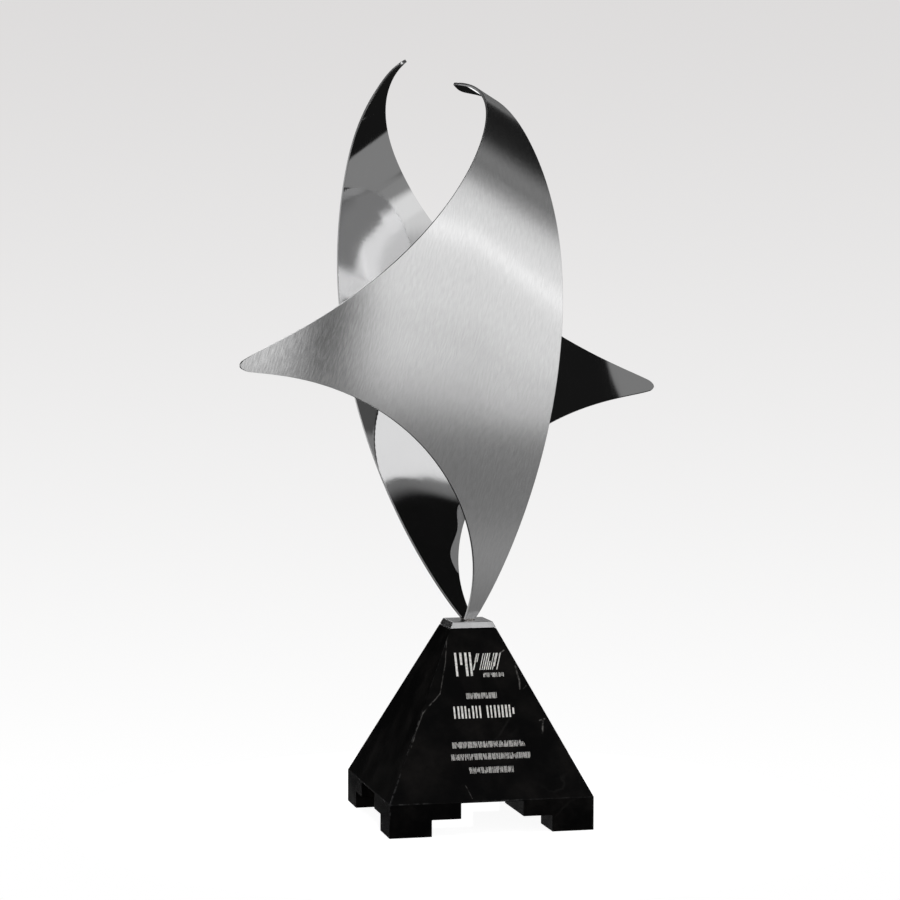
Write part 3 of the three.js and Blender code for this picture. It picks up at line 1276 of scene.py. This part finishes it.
@dataclass
class Strokes:
    """Rows of shallow pale strokes on the plinth's front slope, no two rows alike."""

    plinth: Plinth
    rows: tuple[StrokeRow, ...] = (
        StrokeRow(-11.3, -1.3, 63.6, 12.2, 1.15, 9),
        StrokeRow(-2.6, 11.2, 66.6, 8.6, 0.5, 30, 0.32),
        StrokeRow(2.4, 13.4, 62.8, 2.2, 0.26, 7),
        StrokeRow(-7.4, 8.4, 51.8, 3.0, 0.16, 11),
        StrokeRow(-14.6, 17.8, 41.9, 6.3, 0.86, 9),
        StrokeRow(-17.0, 19.6, 26.9, 3.1, 0.15, 8),
        StrokeRow(-18.1, 21.6, 20.8, 3.1, 0.15, 7),
        StrokeRow(-9.9, 12.6, 14.0, 3.1, 0.15, 6),
    )
    proud: float = 0.05
    sunk: float = 0.2
    pitch: float = 2.15  # from stroke to stroke, in stroke widths
    jitter: float = 0.25  # of the starts, in stroke widths
    widths: Pair = (0.8, 1.15)  # in stroke widths
    shares: Triple = (1.0, 0.8, 0.52)  # of the row's height
    odds: Triple = (0.66, 0.14, 0.2)
    starts: Triple = (0.0, 0.5, 1.0)  # shares of the height that a short stroke leaves below itself
    seed: int = 11

    def row_boxes(self, row: StrokeRow, rng: np.random.Generator) -> Array:
        """The strokes of one row: each starts one pitch after the last and reaches a share of the height.

        Args:
            row: the row.
            rng: where the shares come from.

        Returns:
            Left, right, foot, head and lean of each stroke.
        """
        pitch = row.stroke * self.pitch
        count = int((row.right - row.left) / pitch)
        order = np.arange(count)
        left = row.left + pitch * order + rng.uniform(0.0, self.jitter, count) * row.stroke
        kept = order % row.group != row.group - 1
        share = rng.choice(self.shares, count, p=self.odds)
        foot = row.foot + row.height * (1.0 - share) * rng.choice(self.starts, count)
        wide = row.stroke * rng.uniform(*self.widths, count)
        box = np.stack([left, left + wide, foot, foot + row.height * share, np.full(count, row.lean)], axis=1)
        return box[kept]

    def build(self, fill: bpy.types.Material) -> bpy.types.Object:
        """Every stroke is a block with a leaning axis, laid on the slope and let a little into it.

        Args:
            fill: its finish.

        Returns:
            The strokes as one piece.
        """
        rng = np.random.default_rng(self.seed)
        boxes = np.concatenate([self.row_boxes(row, rng) for row in self.rows])
        left, right, foot, head, lean = boxes.T
        corner = np.array([(0, 0), (1, 0), (1, 1), (0, 1)])
        across = np.where(corner[None, :, 0] == 1, right[:, None], left[:, None])
        along = np.where(corner[None, :, 1] == 1, head[:, None], foot[:, None])
        across = across + lean[:, None] * (along - foot[:, None])
        plane = np.stack([across, along], axis=-1)
        drop, slant = self.plinth.drop(), self.plinth.slant()
        up = np.array([0.0, drop, 1.0]) / slant
        out = np.array([0.0, -1.0, drop]) / slant
        x, y = self.plinth.middle
        start = np.array([x, y - self.plinth.width / 2.0, self.plinth.band])
        base = start + plane[..., :1] * np.array([1.0, 0.0, 0.0]) + plane[..., 1:] * up
        points = np.concatenate([base - self.sunk * out, base + self.proud * out], axis=1)
        block = np.array([(4, 5, 6, 7), (0, 1, 5, 4), (1, 2, 6, 5), (2, 3, 7, 6), (3, 0, 4, 7), (3, 2, 1, 0)])
        quads = (block[None] + 8 * np.arange(len(boxes))[:, None, None]).reshape(-1, 4)
        item = quad_object("front_strokes", points.reshape(-1, 3), quads, [fill])
        item.data.polygons.foreach_set("use_smooth", np.zeros(len(quads), bool))
        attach(item, BODY)
        return item


@dataclass(frozen=True)
class Panel:
    """A soft-edged patch of the studio's surroundings, in degrees of azimuth and of height."""

    azimuth: Pair
    height: Pair
    level: float
    soft: Pair = (2.0, 2.0)
    lift: float = 0.0  # how fast its lower edge climbs with azimuth
    knee: float = 0.0  # the azimuth from which it climbs

    def glow(self, azimuth: Shade, height: Shade) -> Shade:
        """The patch's light in each direction.

        Args:
            azimuth: the direction's azimuth in degrees.
            height: its height in degrees.

        Returns:
            The light.
        """
        low, high = self.height
        soft = self.soft[1]
        above = height - (azimuth - self.knee).most(0.0) * self.lift if self.lift else height
        band = above.rise(low - soft, low + soft) * height.rise(high + soft, high - soft)
        return azimuth.between(*self.azimuth, self.soft[0]) * band * self.level


@dataclass
class Studio:
    """White floor, soft light from the right and a camera at the photograph's angle."""

    camera_place: Triple = (-0.3004, -1.2270, 0.2406)
    camera_turn: float = -0.2364
    camera_dip: float = 0.0457
    camera_roll: float = 0.0026
    lens: float = 100.0
    sensor: float = 36.0
    floor_radius: float = 0.20
    floor_rings: Triple = (0.001, 0.5, 1.0)  # shares of the radius
    floor_steps: int = 96
    floor_drop: float = 0.2  # millimetres below the feet
    lamp_place: Triple = (-0.15, -0.45, 1.5)
    lamp_aim: Triple = (0.0, 0.0, 0.1)
    lamp_size: float = 0.6
    lamp_power: float = 6.0
    wall: Colour = (0.73, 0.718, 0.716)  # what the camera sees high up; it whitens downwards
    wall_height: float = 7.5  # degrees above which it doesn't whiten
    wall_span: float = 17.3  # degrees down to full white
    wall_power: float = 1.2
    seam: float = -90.0  # the azimuth that a full turn starts at
    room: float = 0.012
    panels: tuple[Panel, ...] = (
        Panel((51.0, 71.0), (-4.5, 30.5), 0.45, (2.0, 2.5), 1.3, 57.5),
        Panel((51.0, 75.0), (-4.5, 34.0), 0.45, (2.0, 2.5), 1.3, 57.5),
        Panel((45.0, 56.0), (-10.0, -4.5), 0.77, (1.5, 1.0), -0.6, 53.0),
        Panel((30.0, 79.0), (-10.0, 32.0), 0.24, (4.0, 0.8)),
        Panel((30.0, 58.0), (-31.0, -10.0), 0.18, (2.0, 0.7)),
        Panel((58.0, 95.0), (-32.0, -10.0), 0.32, (2.0, 0.6)),
        Panel((62.5, 68.5), (-12.5, -4.0), -0.42, (1.0, 1.0)),
        Panel((74.3, 95.0), (-15.0, -2.0), 1.55, (2.0, 1.5)),
        Panel((50.0, 68.0), (13.5, 17.0), 0.52, (5.0, 2.5)),
        Panel((40.0, 62.0), (-26.0, -21.0), 0.17, (5.0, 1.5)),
        Panel((31.0, 35.3), (-6.0, 19.0), 0.75, (0.5, 0.5)),
        Panel((-20.0, 35.3), (-6.0, 19.0), 2.57, (0.7, 0.5)),
        Panel((35.3, 50.0), (-6.0, 19.0), 0.63, (0.7, 1.0)),
        Panel((35.0, 37.6), (-6.0, 1.0), 2.0, (0.5, 0.5)),
        Panel((35.0, 44.0), (9.5, 24.0), 2.3, (0.5, 0.8), 1.2, 35.0),
        Panel((47.0, 55.0), (4.5, 22.0), -0.14, (1.5, 1.0)),
        Panel((56.0, 61.8), (-10.2, -4.6), 0.12, (1.0, 0.6)),
        Panel((80.2, 106.0), (31.0, 42.5), 0.3, (0.5, 2.5)),
        Panel((76.0, 82.0), (31.5, 35.6), 0.42, (1.5, 0.8)),
        Panel((186.0, 197.0), (14.0, 45.2), 2.05, (0.4, 0.15)),
        Panel((175.0, 197.0), (45.2, 47.5), 0.4, (2.0, 1.5)),
        Panel((181.5, 185.8), (41.0, 45.5), 0.33, (0.5, 1.0)),
        Panel((160.0, 181.0), (27.0, 42.0), 0.5, (2.0, 1.0)),
        Panel((160.0, 181.0), (14.0, 27.0), 0.18, (2.0, 1.0)),
        Panel((184.0, 196.0), (-13.0, -3.5), 1.7, (1.0, 1.0)),
        Panel((150.0, 190.0), (-2.0, 12.0), 0.3, (3.0, 1.5)),
        Panel((20.0, 40.0), (29.0, 47.0), 1.3, (3.0, 3.0)),
        Panel((213.0, 228.0), (-14.0, 4.0), 1.5, (2.0, 2.0)),
        Panel((205.0, 242.0), (53.0, 70.0), 0.47, (2.0, 2.0)),
        Panel((230.0, 258.0), (-10.0, 33.0), 0.85, (3.0, 4.0)),
        Panel((-85.0, -35.0), (-15.0, 30.0), 0.7, (4.0, 4.0)),
    )

    def camera(self) -> None:
        """Makes the camera and looks through it."""
        data = bpy.data.cameras.new("camera")
        data.lens = self.lens
        data.sensor_width = self.sensor
        item = bpy.data.objects.new("camera", data)
        spin = (
            Matrix.Rotation(self.camera_turn, 4, "Z")
            @ Matrix.Rotation(math.pi / 2.0 - self.camera_dip, 4, "X")
            @ Matrix.Rotation(self.camera_roll, 4, "Z")
        )
        item.matrix_world = Matrix.Translation(self.camera_place) @ spin
        bpy.context.scene.collection.objects.link(item)
        bpy.context.scene.camera = item

    def floor(self, finish: bpy.types.Material, middle: Pair) -> None:
        """A round white table top just under the feet: rings of growing radius.

        Args:
            finish: its material.
            middle: the plinth's middle in millimetres.
        """
        radius = np.array(self.floor_rings) * self.floor_radius / MM
        angle = circle(self.floor_steps)
        ring = np.stack([np.outer(radius, np.cos(angle)), np.outer(radius, np.sin(angle))], axis=-1)
        flat = ring + np.array(middle)
        level = np.full((*flat.shape[:2], 1), -self.floor_drop)
        points = np.concatenate([flat, level], axis=-1).reshape(-1, 3)
        numbers = np.arange(len(points)).reshape(len(radius), len(angle))
        item = quad_object("floor", points, tube_quads(numbers), [finish])
        item.visible_glossy = False
        item.visible_diffuse = False

    def world(self) -> None:
        """Surroundings: soft panels in a dim room light the piece, and the camera sees a pale wall.

        Directions are turned so that azimuth 0 looks to the camera and grows to its right.
        """
        world = bpy.data.worlds.new("studio")
        bpy.context.scene.world = world
        world.use_nodes = True
        world.node_tree.nodes.clear()
        graph = Graph(world.node_tree)
        direction = graph.add("ShaderNodeTexCoord", {}, {}).outputs["Generated"]
        x, y, z = graph.parts(direction)
        cosine, sine = math.cos(self.camera_turn), math.sin(self.camera_turn)
        toward = x * sine - y * cosine
        rightward = x * cosine + y * sine
        azimuth = graph.maths("ARCTAN2", rightward, toward) * DEGREES
        height = graph.maths("ARCSINE", z) * DEGREES
        azimuth = azimuth + FULL_TURN * azimuth.maths("LESS_THAN", self.seam)
        room = sum((panel.glow(azimuth, height) for panel in self.panels), self.room)
        span = self.wall_span
        down = graph.maths("MULTIPLY_ADD", height, -1.0 / span, self.wall_height / span).most(0.0).least(1.0)
        lights = graph.add("ShaderNodeBackground", {}, {"Color": graph.joined(room, room, room)})
        wall = graph.mix(down**self.wall_power, self.wall, WHITE)
        seen = graph.add("ShaderNodeBackground", {}, {"Color": wall})
        ray = graph.add("ShaderNodeLightPath", {}, {}).outputs["Is Camera Ray"]
        both = graph.add("ShaderNodeMixShader", {}, {0: ray, 1: lights.outputs[0], 2: seen.outputs[0]})
        graph.add("ShaderNodeOutputWorld", {}, {"Surface": both.outputs[0]})

    def lamp(self) -> None:
        """Hangs a square soft light above the front."""
        data = bpy.data.lights.new("over_front_light", "AREA")
        data.size = self.lamp_size
        data.energy = self.lamp_power
        item = bpy.data.objects.new("over_front_light", data)
        facing = (Vector(self.lamp_aim) - Vector(self.lamp_place)).to_track_quat("-Z", "Y")
        item.matrix_world = Matrix.Translation(self.lamp_place) @ facing.to_matrix().to_4x4()
        bpy.context.scene.collection.objects.link(item)

    def build(self, middle: Pair) -> None:
        """Sets up the floor, the surroundings, the light and the camera.

        Args:
            middle: the plinth's middle in millimetres.
        """
        self.floor(PaleFloor().make(), middle)
        self.world()
        self.lamp()
        self.camera()
        bpy.context.scene.view_settings.view_transform = "Standard"


def sheets(middle: Pair, cap_top: float) -> list[Sheet]:
    """The two sheets: one blank, the second turned half round, both leaning back together.

    Args:
        middle: the plinth's middle in millimetres.
        cap_top: the height that the feet stand at.

    Returns:
        The front sheet and the back sheet.
    """
    half_turn = Stance(180.0, 0.0, 0.0)
    pair = Stance(0.0, 0.0, -1.1)
    lean = Stance(0.0, -5.4, 0.0)
    place = Stance(0.0, 0.0, 0.0, (*middle, cap_top))
    front = Stance(12.5, 18.4, 0.8, (0.15, -3.0, -0.05))
    back = Stance(12.5, 18.4, 0.8, (0.15, -3.0, 1.15))
    extra = Stance(-5.8, -7.6, -1.6)
    wider = Blank(
        outer=((25.6, 39.5), (84.0, 205.4), (7.2, 236.0), (50.6, 317.1)),
        fin=(-136.6, 127.4),
        upper=((31.0, 270.4), (1.0, 235.4), (-38.6, 148.8), (-130.0, 138.0)),
        lower=((-130.0, 117.0), (-36.8, 126.6), (-1.5, 62.0), (4.6, 29.5)),
    )
    twists = (
        Twist(0.0012, 8.0, (-16.0, 60.0)),
        Twist(0.003, 8.0, (-60.0, 60.0), (20.0, 45.0, 80.0, 100.0)),
    )
    rolls = (
        EdgeRoll(True, (74.0, 121.0, 142.0), 15.0, 0.14, soft=2.0),
        EdgeRoll(True, (150.0, 185.0, 230.0), 30.0, 0.04, 1.0, 20.0),
        EdgeRoll(False, (98.0, 70.0, 24.0), 5.6, -0.26, 0.3, 0.7, 1.9, 0.23),
    )
    return [
        Sheet("front_rolled_sheet", "front_sheet", (front, lean, pair, place)),
        Sheet(
            "back_rolled_sheet",
            "back_sheet",
            (back, half_turn, extra, lean, pair, place),
            wider,
            twists=twists,
            rolls=rolls,
            settle=Settle(250.0, 300.0, 2.6),
        ),
    ]


def main() -> None:
    """Builds the sculpture piece by piece and sets it in the studio."""
    logging.basicConfig(level=logging.INFO, format="%(name)s: %(message)s")
    low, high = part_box("plinth")
    middle = tuple((a + b) / 2.0 / MM for a, b in zip(low[:2], high[:2]))
    plinth = Plinth(middle)
    LOG.info("made %s", plinth.build(plinth.finish()).name)
    LOG.info("made %s", Strokes(plinth).build(StrokeFill().make()).name)
    cap = CapPlate(middle)
    LOG.info("made %s", cap.build(CapSteel().make()).name)
    weld = WeldSteel().make()
    finishes = [BrushedSteel().make(), MirrorSteel().make(), CutSteel().make()]
    for sheet in sheets(middle, cap.top + WELD_GAP):
        LOG.info("made %s", sheet.build(finishes).name)
        LOG.info("made %s", FootWelds(sheet, f"{sheet.name}_welds", cap.top).build(weld).name)
    Studio().build(middle)


if __name__ == "__main__":
    main()
